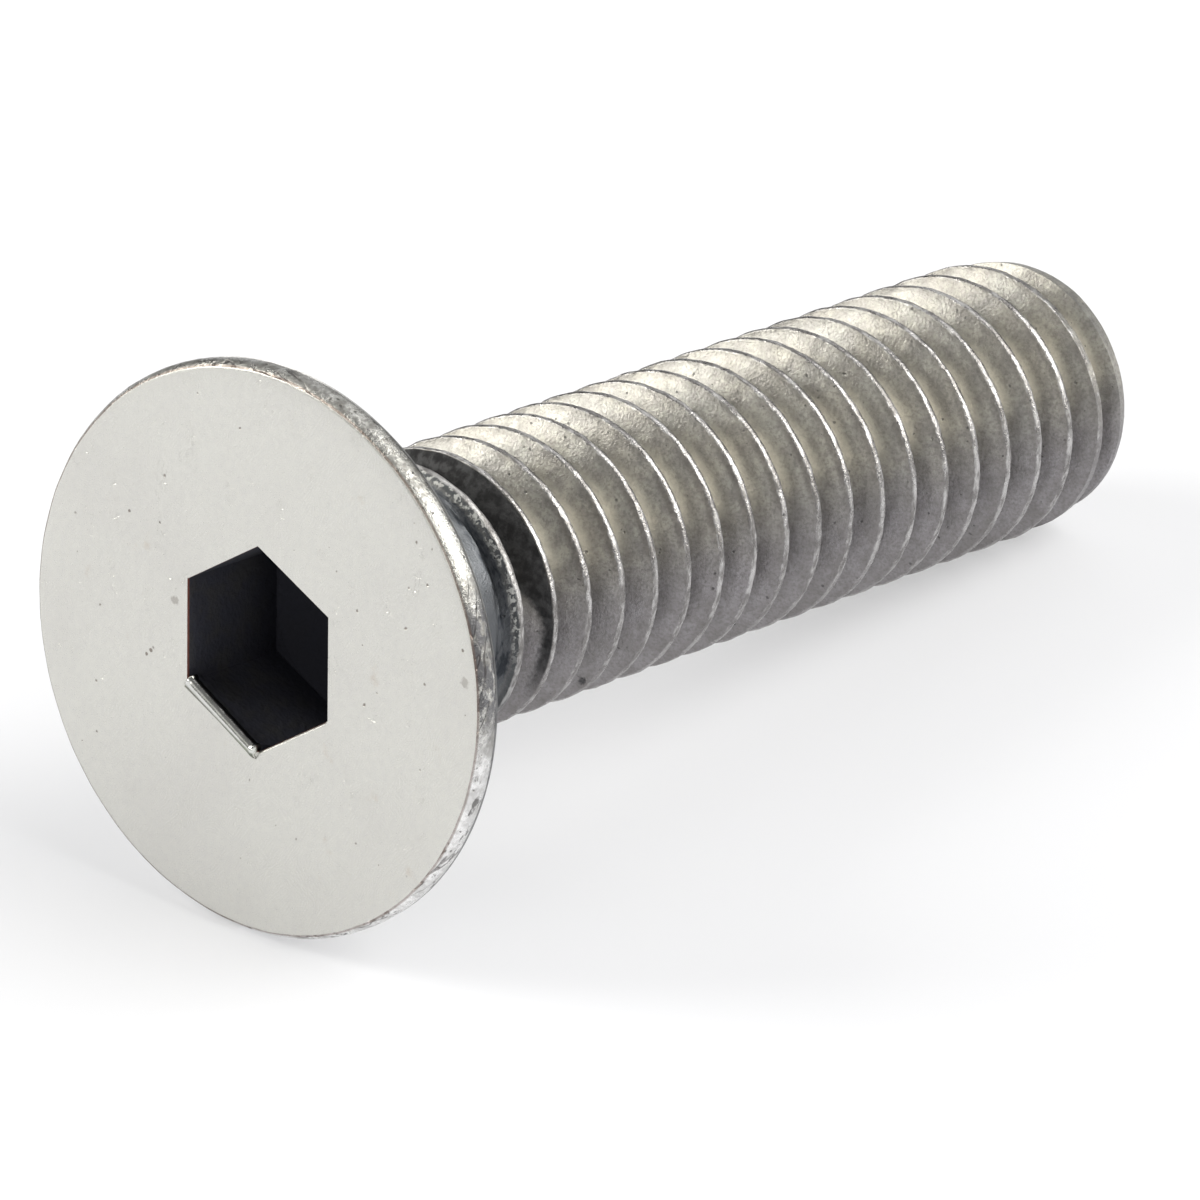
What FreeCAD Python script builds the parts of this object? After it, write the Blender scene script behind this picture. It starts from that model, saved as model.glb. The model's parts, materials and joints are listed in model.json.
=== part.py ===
"""Countersunk socket screw with a coarse right-hand M4 thread, lying at rest on its rim and thread.

The screw is one solid in one body. The body's own X runs along the axis, from the flat head face at
X = 0 towards the end, and its own Z points to the line that lies uppermost. A placement then tilts
the body so that the rim and the last crests touch the ground at Z = 0, with the middle of the
screw over the origin. Lengths are in millimetres and angles in degrees.
"""

import FreeCAD, Part
import math
import os
import Sketcher

NODE = "screw"

SIZES = {
    # Head: a flat face with a broken edge, a short land and a cone that narrows to the neck.
    "head_diameter": 7.95,
    "head_edge_break": 0.09,
    "land_length": 0.32,
    "cone_angle": 90.0,
    # Neck: the plain stretch behind the cone, with its relief taken from the thread's outer radius.
    "neck_relief": 0.175,
    "neck_length": 0.375,
    "neck_fillet": 0.35,
    # Thread: where its ridge has swollen to full height and where its first crest crosses the
    # uppermost line, both from the end of the cone.
    "thread_diameter": 3.97,
    "thread_pitch": 0.7,
    "full_ridge": 0.315,
    "first_crest": 0.515,
    # End: tapered and rounded as thread rolling leaves it.
    "screw_length": 16.55,
    "end_taper": 0.65,
    "end_relief": 0.155,
    "end_rounding": 5.3,
    "end_edge_break": 0.06,
    # Socket: a hexagon with a conical floor, one corner turned from the uppermost line.
    "hex_width": 2.5,
    "hex_depth": 1.8,
    "hex_turn": 5.3,
    "floor_angle": 120.0,
}

# Standard triangular thread, as shares of the pitch: a triangle with 60 degrees between its flanks,
# truncated by an eighth of its height at the crest and by a sixth at the root.
HALF_FLANK_ANGLE = 30.0
TRIANGLE_HEIGHT = math.sqrt(3.0) / 2.0
SHARP_DEPTH = TRIANGLE_HEIGHT * (1.0 - 1.0 / 8.0)
GROOVE_DEPTH = SHARP_DEPTH - TRIANGLE_HEIGHT / 6.0
# How far the cutting section stands out of the crest, so that neighbouring turns stay apart.
OVERCUT = 0.06

# Share of a line's length that an arc at its end may take up.
ARC_SHARE = 0.95

# Expressions over the sheet that more than one feature uses.
HEAD_RADIUS = "(Sizes.head_diameter / 2)"
THREAD_RADIUS = "(Sizes.thread_diameter / 2)"
NECK_RADIUS = f"({THREAD_RADIUS} - Sizes.neck_relief)"
END_RADIUS = f"({THREAD_RADIUS} - Sizes.end_relief)"
CORE_RADIUS = f"({THREAD_RADIUS} - {GROOVE_DEPTH + OVERCUT} * Sizes.thread_pitch)"
CONE_END = f"(Sizes.land_length + ({HEAD_RADIUS} - {NECK_RADIUS}) / tan(Sizes.cone_angle / 2))"
NECK_END = f"({CONE_END} + Sizes.neck_length)"
RIDGE_TOP = f"({CONE_END} + Sizes.full_ridge)"
GROOVE_START = f"({CONE_END} + Sizes.first_crest - 1.5 * Sizes.thread_pitch)"
END_EDGE = "(Sizes.screw_length - Sizes.end_edge_break)"
HEX_CORNER_RADIUS = "(Sizes.hex_width / 2 / cos(30))"


def fill_sheet(doc):
    """Make the sheet with one named cell for each driving dimension."""
    sheet = doc.addObject("Spreadsheet::Sheet", "Sizes")
    for row, (name, value) in enumerate(SIZES.items(), start=1):
        sheet.set(f"A{row}", name)
        sheet.set(f"B{row}", str(value))
        sheet.setAlias(f"B{row}", name)
    doc.recompute()
    return sheet


def new_sketch(body, name, role):
    """Add a sketch on the body's own origin plane of that role."""
    sketch = body.newObject("Sketcher::SketchObject", name)
    planes = [f for f in body.Origin.OriginFeatures if f.Role == role]
    sketch.AttachmentSupport = [(planes[0], "")]
    sketch.MapMode = "FlatFace"
    return sketch


def fix_point(sketch, geometry, end, name, along, out):
    """Tie a sketch point to its distances from the origin, given as expressions."""
    for kind, axis, expression in (("DistanceX", -2, along), ("DistanceY", -1, out)):
        if expression == "0":
            sketch.addConstraint(Sketcher.Constraint("PointOnObject", geometry, end, axis))
            continue
        value = float(sketch.evalExpression(expression))
        sketch.addConstraint(Sketcher.Constraint(kind, -1, 1, geometry, end, value))
        sketch.renameConstraint(sketch.ConstraintCount - 1, f"{name}_{kind[-1].lower()}")
        sketch.setExpression(f"Constraints.{name}_{kind[-1].lower()}", expression)


def round_corner(sketch, index, before, corner, back, ahead):
    """Round an outline's corner with an arc tangent to the lines before and after it.

    back and ahead point from the corner along the two lines. The true corner stays as a
    construction point that both lines pass through.
    """
    name, along, out, rounding = corner
    place = FreeCAD.Vector(*(float(sketch.evalExpression(e)) for e in (along, out)), 0)
    radius = float(sketch.evalExpression(rounding))
    half_angle = back.getAngle(ahead) / 2
    centre = place + (back + ahead).normalize() * (radius / math.sin(half_angle))
    reach = radius / math.tan(half_angle)
    ends = [place + back * reach, place + ahead * reach]
    in_end, out_end = 1, 2
    if back.cross(ahead).z > 0:
        ends.reverse()
        in_end, out_end = out_end, in_end
    angles = [math.atan2(end.y - centre.y, end.x - centre.x) for end in ends]
    circle = Part.Circle(centre, FreeCAD.Vector(0, 0, 1), radius)
    arc = sketch.addGeometry(Part.ArcOfCircle(circle, *angles))
    sketch.addConstraint(Sketcher.Constraint("Tangent", before, 2, arc, in_end))
    sketch.addConstraint(Sketcher.Constraint("Tangent", arc, out_end, index, 1))
    sketch.addConstraint(Sketcher.Constraint("Radius", arc, radius))
    sketch.renameConstraint(sketch.ConstraintCount - 1, f"{name}_radius")
    sketch.setExpression(f"Constraints.{name}_radius", rounding)
    point = sketch.addGeometry(Part.Point(place), True)
    fix_point(sketch, point, 1, name, along, out)
    for line in (before, index):
        sketch.addConstraint(Sketcher.Constraint("PointOnObject", point, 1, line))


def draw_outline(sketch, corners):
    """Draw a closed outline of lines through named corners.

    Each corner is (name, along, out) or (name, along, out, rounding), with expressions for its
    distances from the origin and for the radius of the arc that rounds it.
    """
    places = []
    for corner in corners:
        along, out = (float(sketch.evalExpression(e)) for e in corner[1:3])
        places.append(FreeCAD.Vector(along, out, 0))
    count = len(corners)
    ways = [(places[(i + 1) % count] - places[i]).normalize() for i in range(count)]
    reaches = []
    for i, corner in enumerate(corners):
        half_angle = (ways[i - 1] * -1).getAngle(ways[i]) / 2
        rounding = float(sketch.evalExpression(corner[3])) if len(corner) == 4 else 0.0
        reaches.append(rounding / math.tan(half_angle))
    for i in range(count):
        start = places[i] + ways[i] * reaches[i]
        end = places[(i + 1) % count] - ways[i] * reaches[(i + 1) % count]
        sketch.addGeometry(Part.LineSegment(start, end))
    for i, corner in enumerate(corners):
        before = (i - 1) % count
        if len(corner) == 4:
            round_corner(sketch, i, before, corner, ways[before] * -1, ways[i])
        else:
            sketch.addConstraint(Sketcher.Constraint("Coincident", before, 2, i, 1))
            fix_point(sketch, i, 1, *corner)


def revolve(body, sketch, name, kind):
    """Turn a sketch a full turn about the body's X axis, adding or cutting by the kind of feature."""
    feature = body.newObject(kind, name)
    feature.Profile = sketch
    feature.ReferenceAxis = (sketch, ["H_Axis"])
    feature.Angle = 360.0
    return feature


def make_shank(body):
    """Turn the shank at the thread's outer diameter, from inside the head to the rolled end.

    It starts with a cone at 45 degrees, over which the ridge of the thread swells to its full
    height.
    """
    sketch = new_sketch(body, "shank_outline", "XZ_Plane")
    shoulder = f"({RIDGE_TOP} - ({THREAD_RADIUS} - {CORE_RADIUS}))"
    end_turn = "atan(Sizes.end_relief / Sizes.end_taper)"
    widest_arc = f"{ARC_SHARE} * Sizes.end_taper / tan({end_turn} / 2)"
    draw_outline(
        sketch,
        [
            ("shank_start", shoulder, "0"),
            ("ridge_foot", shoulder, CORE_RADIUS),
            ("ridge_top", RIDGE_TOP, THREAD_RADIUS),
            (
                "end_corner",
                f"({END_EDGE} - Sizes.end_taper)",
                THREAD_RADIUS,
                f"min(Sizes.end_rounding; {widest_arc})",
            ),
            ("end_edge", END_EDGE, END_RADIUS),
            ("end_face", "Sizes.screw_length", f"({END_RADIUS} - Sizes.end_edge_break)"),
            ("shank_end", "Sizes.screw_length", "0"),
        ],
    )
    revolve(body, sketch, "shank", "PartDesign::Revolution")


def cut_thread(doc, body):
    """Cut the groove of the thread along a right-hand helix that runs out past the end.

    The section lies on the uppermost line, one turn before the groove that runs out into the neck,
    where the head will close the cut again.
    """
    sketch = new_sketch(body, "groove_section", "XZ_Plane")
    slope = f"Sizes.thread_pitch * tan({HALF_FLANK_ANGLE})"
    rim = f"({THREAD_RADIUS} + {OVERCUT} * Sizes.thread_pitch)"
    rim_reach = f"({SHARP_DEPTH + OVERCUT} * {slope})"
    root = f"({THREAD_RADIUS} - {GROOVE_DEPTH} * Sizes.thread_pitch)"
    root_reach = f"({SHARP_DEPTH - GROOVE_DEPTH} * {slope})"
    draw_outline(
        sketch,
        [
            ("head_side", f"({GROOVE_START} - {rim_reach})", rim),
            ("root_start", f"({GROOVE_START} - {root_reach})", root),
            ("root_end", f"({GROOVE_START} + {root_reach})", root),
            ("end_side", f"({GROOVE_START} + {rim_reach})", rim),
        ],
    )
    groove = body.newObject("PartDesign::SubtractiveHelix", "thread_groove")
    groove.Profile = sketch
    groove.ReferenceAxis = (sketch, ["H_Axis"])
    groove.HasBeenEdited = True
    groove.Mode = "pitch-height-angle"
    groove.setExpression("Pitch", "Sizes.thread_pitch")
    groove.setExpression("Height", f"Sizes.screw_length + Sizes.thread_pitch - {GROOVE_START}")
    groove.Angle = 0.0
    groove.LeftHanded = False
    groove.Reversed = False
    doc.recompute()


def make_head(body):
    """Turn the head with its cone and neck, which fills the first groove up to the neck's radius.

    The fill ends in a cone at 45 degrees down to the thread's core, so the groove deepens from
    nothing over its first turn.
    """
    sketch = new_sketch(body, "head_outline", "XZ_Plane")
    widest_arc = f"{ARC_SHARE} * Sizes.neck_length / tan(Sizes.cone_angle / 4)"
    fill_end = f"({NECK_END} + {NECK_RADIUS} - {CORE_RADIUS})"
    draw_outline(
        sketch,
        [
            ("face_centre", "0", "0"),
            ("face_edge", "0", f"({HEAD_RADIUS} - Sizes.head_edge_break)"),
            ("land_front", "Sizes.head_edge_break", HEAD_RADIUS),
            ("land_back", "Sizes.land_length", HEAD_RADIUS),
            ("neck_start", CONE_END, NECK_RADIUS, f"min(Sizes.neck_fillet; {widest_arc})"),
            ("neck_end", NECK_END, NECK_RADIUS),
            ("fill_end", fill_end, CORE_RADIUS),
            ("fill_axis", fill_end, "0"),
        ],
    )
    revolve(body, sketch, "head", "PartDesign::Revolution")


def cut_socket(doc, body):
    """Sink the hexagon into the head face and finish its floor with the punch's blunt cone."""
    sketch = new_sketch(body, "hexagon", "YZ_Plane")
    radius = float(sketch.evalExpression(HEX_CORNER_RADIUS))
    turn = math.radians(90.0 - float(sketch.evalExpression("Sizes.hex_turn")))
    corners = []
    for i in range(6):
        angle = turn + math.radians(60.0 * i)
        corners.append(FreeCAD.Vector(math.cos(angle), math.sin(angle), 0) * radius)
    for i in range(6):
        sketch.addGeometry(Part.LineSegment(corners[i], corners[(i + 1) % 6]))
    origin, up = FreeCAD.Vector(0, 0, 0), FreeCAD.Vector(0, 0, 1)
    circle = sketch.addGeometry(Part.Circle(origin, up, radius), True)
    spoke = sketch.addGeometry(Part.LineSegment(origin, corners[0]), True)
    sketch.addConstraint(Sketcher.Constraint("Coincident", circle, 3, -1, 1))
    sketch.addConstraint(Sketcher.Constraint("Coincident", spoke, 1, -1, 1))
    sketch.addConstraint(Sketcher.Constraint("Coincident", spoke, 2, 0, 1))
    for i in range(6):
        sketch.addConstraint(Sketcher.Constraint("Coincident", i, 2, (i + 1) % 6, 1))
        sketch.addConstraint(Sketcher.Constraint("PointOnObject", i, 1, circle))
    for i in range(5):
        sketch.addConstraint(Sketcher.Constraint("Equal", i, i + 1))
    sketch.addConstraint(Sketcher.Constraint("Radius", circle, radius))
    sketch.renameConstraint(sketch.ConstraintCount - 1, "corner_radius")
    sketch.setExpression("Constraints.corner_radius", HEX_CORNER_RADIUS)
    sketch.addConstraint(Sketcher.Constraint("Angle", spoke, turn))
    sketch.renameConstraint(sketch.ConstraintCount - 1, "corner_angle")
    sketch.setExpression("Constraints.corner_angle", "90 - Sizes.hex_turn")
    pocket = body.newObject("PartDesign::Pocket", "hex_socket")
    pocket.Profile = sketch
    pocket.setExpression("Length", "Sizes.hex_depth")
    pocket.Reversed = True
    doc.recompute()

    sketch = new_sketch(body, "floor_outline", "XZ_Plane")
    floor_depth = "(Sizes.hex_width / 2 / tan(Sizes.floor_angle / 2))"
    draw_outline(
        sketch,
        [
            ("floor_centre", "Sizes.hex_depth", "0"),
            ("floor_edge", "Sizes.hex_depth", "Sizes.hex_width / 2"),
            ("floor_point", f"(Sizes.hex_depth + {floor_depth})", "0"),
        ],
    )
    revolve(body, sketch, "socket_floor", "PartDesign::Groove")


def rest_placement(sheet):
    """Lay the screw on the ground on its rim and on the rounding of its end.

    The tilt is that of the line from the lowest point at the back of the land, tangent to the arc
    that rounds the end, or through the end's edge where the arc doesn't reach the ground.
    """
    head_radius, thread_radius = sheet.head_diameter / 2, sheet.thread_diameter / 2
    end_edge = sheet.screw_length - sheet.end_edge_break
    end_radius = thread_radius - sheet.end_relief
    run, drop = end_edge - sheet.land_length, head_radius - end_radius
    tilt = math.atan2(drop, run)
    turn = math.atan2(sheet.end_relief, sheet.end_taper)
    arc = min(sheet.end_rounding, ARC_SHARE * sheet.end_taper / math.tan(turn / 2))
    arc_start = end_edge - sheet.end_taper - arc * math.tan(turn / 2)
    out = head_radius - (thread_radius - arc)
    along = arc_start - sheet.land_length
    tangent = math.atan2(out, along) - math.asin(arc / math.hypot(out, along))
    if tangent < turn:
        tilt = min(tilt, tangent)
    sine, cosine = math.sin(tilt), math.cos(tilt)
    height = head_radius * cosine + sheet.land_length * sine
    low = -(head_radius - sheet.head_edge_break) * sine
    high = sheet.screw_length * cosine + (end_radius - sheet.end_edge_break) * sine
    base = FreeCAD.Vector(-(low + high) / 2, 0, height)
    return FreeCAD.Placement(base, FreeCAD.Rotation(FreeCAD.Vector(0, 1, 0), math.degrees(tilt)))


def check(doc, body):
    """Stop with a message if a feature failed or the body's shape isn't one sound solid."""
    for item in doc.Objects:
        if "Invalid" in item.State or "Error" in item.State:
            raise RuntimeError(f"{item.Name} failed: {item.State}")
    if body.Shape.isNull() or not body.Shape.isValid() or len(body.Shape.Solids) != 1:
        raise RuntimeError(f"{body.Label} is not one valid solid")


def main():
    """Build the screw, lay it down and write its solid to a file."""
    doc = FreeCAD.newDocument("countersunk_socket_screw")
    sheet = fill_sheet(doc)
    body = doc.addObject("PartDesign::Body", NODE)
    body.Label = NODE
    make_shank(body)
    cut_thread(doc, body)
    make_head(body)
    cut_socket(doc, body)
    body.Placement = rest_placement(sheet)
    doc.recompute()
    check(doc, body)
    os.makedirs("parts", exist_ok=True)
    body.Shape.exportStep(f"parts/{NODE}.step")
    print(f"{NODE}: {body.Shape.Volume:.2f} cubic millimetres")


main()
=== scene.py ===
"""Countersunk socket screw lying on a pale floor, with its worked surfaces, soft light and camera.

The screw is modelled in its own frame: X runs along the axis from the head face to the end, Z points
to the line that lies uppermost, and lengths are in millimetres. Turns about the axis are in degrees
from the uppermost line, in the way that the right-hand thread climbs. A seat then lays the finished
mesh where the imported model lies, in metres.
"""

import json
import logging
import math
from dataclasses import dataclass, field
from enum import Enum
from functools import reduce
from typing import Any, Callable, Iterable

import bmesh
import bpy
from bmesh.types import BMEdge, BMesh, BMFace, BMVert
from bpy.types import Material, Node, NodeSocket, NodeTree, Object
from mathutils import Matrix, Vector, noise


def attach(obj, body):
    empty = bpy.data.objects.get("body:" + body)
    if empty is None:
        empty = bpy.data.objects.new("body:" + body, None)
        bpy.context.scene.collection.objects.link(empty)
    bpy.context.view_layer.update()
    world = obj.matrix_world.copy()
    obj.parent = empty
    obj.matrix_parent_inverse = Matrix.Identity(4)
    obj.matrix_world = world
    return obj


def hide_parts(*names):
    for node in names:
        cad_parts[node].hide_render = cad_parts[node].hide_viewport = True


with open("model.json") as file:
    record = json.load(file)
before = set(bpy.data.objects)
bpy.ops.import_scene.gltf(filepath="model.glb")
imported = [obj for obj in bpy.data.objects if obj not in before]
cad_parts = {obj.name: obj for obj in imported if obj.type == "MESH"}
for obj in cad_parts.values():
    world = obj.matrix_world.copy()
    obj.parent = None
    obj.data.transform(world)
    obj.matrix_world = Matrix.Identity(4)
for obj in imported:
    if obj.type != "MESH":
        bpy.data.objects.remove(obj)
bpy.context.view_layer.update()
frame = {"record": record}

LOG = logging.getLogger("screw")
MM = 0.001
AXIS = Vector((1.0, 0.0, 0.0))
# Vertices that lie closer together than this count as one place.
MERGE = 1e-4
# The angle that one side of a hexagon spans, seen from its middle, in degrees, and half of it.
SIDE = 60.0
HALF_SIDE = math.radians(SIDE / 2)
# The radius at which the surface is unrolled for patterns that run round the screw.
WRAP_RADIUS = 2.0

Color = tuple[float, float, float]
ColorPair = tuple[Color, Color]
Direction = tuple[float, float, float]
Signal = NodeSocket
Edges = list[BMEdge]
Faces = list[BMFace]
Move = Callable[[Vector], Vector]


class Zone(Enum):
    """The differently worked surfaces of the screw, in the order of their material slots."""

    FACE = 0
    LAND = 1
    NECK = 2
    THREAD = 3
    SOCKET = 4
    LIP = 5


# Places on the screw


@dataclass(frozen=True)
class Seat:
    """Where the screw's own frame lies in the row's frame."""

    place: Vector
    along: Vector

    @classmethod
    def from_mount(cls, record: dict[str, Any], name: str) -> "Seat":
        """Read the seat from the mount on the head face.

        Args:
            record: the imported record.
            name: the mount whose axis points out of the head face.

        Returns:
            The seat with its origin at the middle of the head face.
        """
        mount = next(m for m in record["mounts"] if m["name"] == name)
        return cls(Vector(mount["pos_m"]), -Vector(mount["axis"]).normalized())

    def matrix(self) -> Matrix:
        """Work out how the screw's own frame is laid down.

        Returns:
            The matrix from the screw's own millimetres to the row's metres.
        """
        across = Vector((0.0, 1.0, 0.0))
        up = self.along.cross(across)
        turned = Matrix((self.along, across, up)).transposed().to_4x4()
        return Matrix.Translation(self.place) @ turned @ Matrix.Scale(MM, 4)


def spot(along: float, turn: float, out: float) -> Vector:
    """Give the point at a length along the axis, a turn in degrees and a radius."""
    angle = math.radians(turn)
    return Vector((along, -out * math.sin(angle), out * math.cos(angle)))


def radius_of(point: Vector) -> float:
    """Give a point's distance from the axis."""
    return math.hypot(point.y, point.z)


def at_radius(point: Vector, radius: float) -> Vector:
    """Give the point that lies on the same ray out from the axis, at another radius."""
    scale = radius / radius_of(point)
    return Vector((point.x, point.y * scale, point.z * scale))


def smoothstep(value: float, low: float, high: float) -> float:
    """Rise softly from 0 at low to 1 at high."""
    share = min(max((value - low) / (high - low), 0.0), 1.0)
    return share * share * (3.0 - 2.0 * share)


# Meshes


def add_outline(bm: BMesh, points: Iterable[Vector]) -> list[BMVert]:
    """Add an open run of straight edges.

    Args:
        bm: the mesh to add to.
        points: the corners in order.

    Returns:
        The new vertices in order.
    """
    verts = [bm.verts.new(point) for point in points]
    for first, second in zip(verts, verts[1:]):
        bm.edges.new((first, second))
    return verts


def verts_of(items: Iterable[BMEdge | BMFace]) -> list[BMVert]:
    """List the vertices of edges or faces, each once."""
    return list({vert for item in items for vert in item.verts})


def to_mesh(bm: BMesh, name: str) -> bpy.types.Mesh:
    """Turn a finished BMesh into a mesh and free it.

    Args:
        bm: the BMesh, which isn't used afterwards.
        name: the mesh's name.

    Returns:
        The mesh.
    """
    mesh = bpy.data.meshes.new(name)
    bm.to_mesh(mesh)
    bm.free()
    return mesh


def add_object(name: str, data: Any) -> Object:
    """Add an object with its data to the scene.

    Args:
        name: the object's name.
        data: its mesh, light or camera.

    Returns:
        The object.
    """
    made = bpy.data.objects.new(name, data)
    bpy.context.scene.collection.objects.link(made)
    return made


def round_corner(bm: BMesh, vert: BMVert, reach: float, segments: int) -> None:
    """Round one corner of an outline, starting at a distance before and after it."""
    bmesh.ops.bevel(
        bm, geom=[vert], offset=reach, offset_type="OFFSET", segments=segments, profile=0.5,
        affect="VERTICES", material=-1, clamp_overlap=True,
    )


def split_edges(bm: BMesh, edges: Iterable[BMEdge], longest: float) -> None:
    """Divide edges into equal runs.

    Args:
        bm: the mesh that holds the edges.
        edges: the edges to divide.
        longest: the length that no run exceeds.
    """
    for edge in list(edges):
        cuts = math.ceil(edge.calc_length() / longest) - 1
        if cuts > 0:
            bmesh.ops.subdivide_edges(bm, edges=[edge], cuts=cuts)


def rim_edges(bm: BMesh, test: Callable[[Vector], bool]) -> Edges:
    """List open edges.

    Args:
        bm: the mesh that holds the edges.
        test: tells from an edge's middle whether it belongs to the rim.

    Returns:
        The open edges that pass the test.
    """
    return [
        edge
        for edge in bm.edges
        if (edge.is_boundary or edge.is_wire) and test((edge.verts[0].co + edge.verts[1].co) / 2)
    ]


def grow_ring(bm: BMesh, ring: Edges, move: Move) -> tuple[Edges, Faces]:
    """Extrude a closed ring of edges and move the new ring.

    Args:
        bm: the mesh that holds the ring.
        ring: the edges to extrude.
        move: gives each new vertex its place from its old one.

    Returns:
        The new ring's edges and the new faces.
    """
    grown = bmesh.ops.extrude_edge_only(bm, edges=ring)["geom"]
    fresh = {item for item in grown if isinstance(item, BMVert)}
    for vert in fresh:
        vert.co = move(vert.co)
    faces = [item for item in grown if isinstance(item, BMFace)]
    edges = [item for item in grown if isinstance(item, BMEdge)]
    return [edge for edge in edges if fresh.issuperset(edge.verts)], faces


def close_ring(bm: BMesh, ring: Edges, shares: Iterable[float], rise: float) -> Faces:
    """Close a ring about the axis with a shallow cone of ever smaller rings and a pole.

    Args:
        bm: the mesh that holds the ring.
        ring: the edges of the ring.
        shares: the size of each smaller ring as a share of the one before it.
        rise: how far the cone climbs along the axis for each millimetre towards it.

    Returns:
        The new faces.
    """
    made: Faces = []
    for share in shares:
        def shrink(point: Vector, share: float = share) -> Vector:
            """Bring a point nearer to the axis and up the cone."""
            step = radius_of(point) * (1.0 - share)
            return Vector((point.x + rise * step, point.y * share, point.z * share))
        ring, faces = grow_ring(bm, ring, shrink)
        made += faces
    verts = verts_of(ring)
    reach = sum(radius_of(vert.co) for vert in verts) / len(verts)
    along = sum(vert.co.x for vert in verts) / len(verts) + rise * reach
    last, faces = grow_ring(bm, ring, lambda point: AXIS * along)
    bmesh.ops.pointmerge(bm, verts=verts_of(last), merge_co=AXIS * along)
    return [face for face in made + faces if face.is_valid]


@dataclass(frozen=True)
class Neck:
    """The plain stretch behind the cone, and where the meshes of head and thread meet on it."""

    radius: float = 1.8085
    end: float = 2.86
    seam: float = 2.6


@dataclass(frozen=True)
class Dent:
    """A small blow on the surface: its place, its size along and round the screw, and its depth."""

    along: float
    turn: float
    out: float
    length: float
    width: float
    depth: float

    # How deep it reaches, and up to which square of widths it is felt.
    reach: float = 0.5
    felt: float = 9.0

    def press(self, point: Vector) -> float:
        """Work out how the blow moves a point.

        Args:
            point: a place on the surface.

        Returns:
            How far the surface is pushed in there.
        """
        gap = point - spot(self.along, self.turn, self.out)
        round_way = AXIS.cross(spot(0.0, self.turn, 1.0))
        share = (gap.x / self.length) ** 2 + (gap.dot(round_way) / self.width) ** 2
        near = abs(radius_of(point) - self.out) < self.reach
        return self.depth * math.exp(-share) if near and share < self.felt else 0.0


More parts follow.
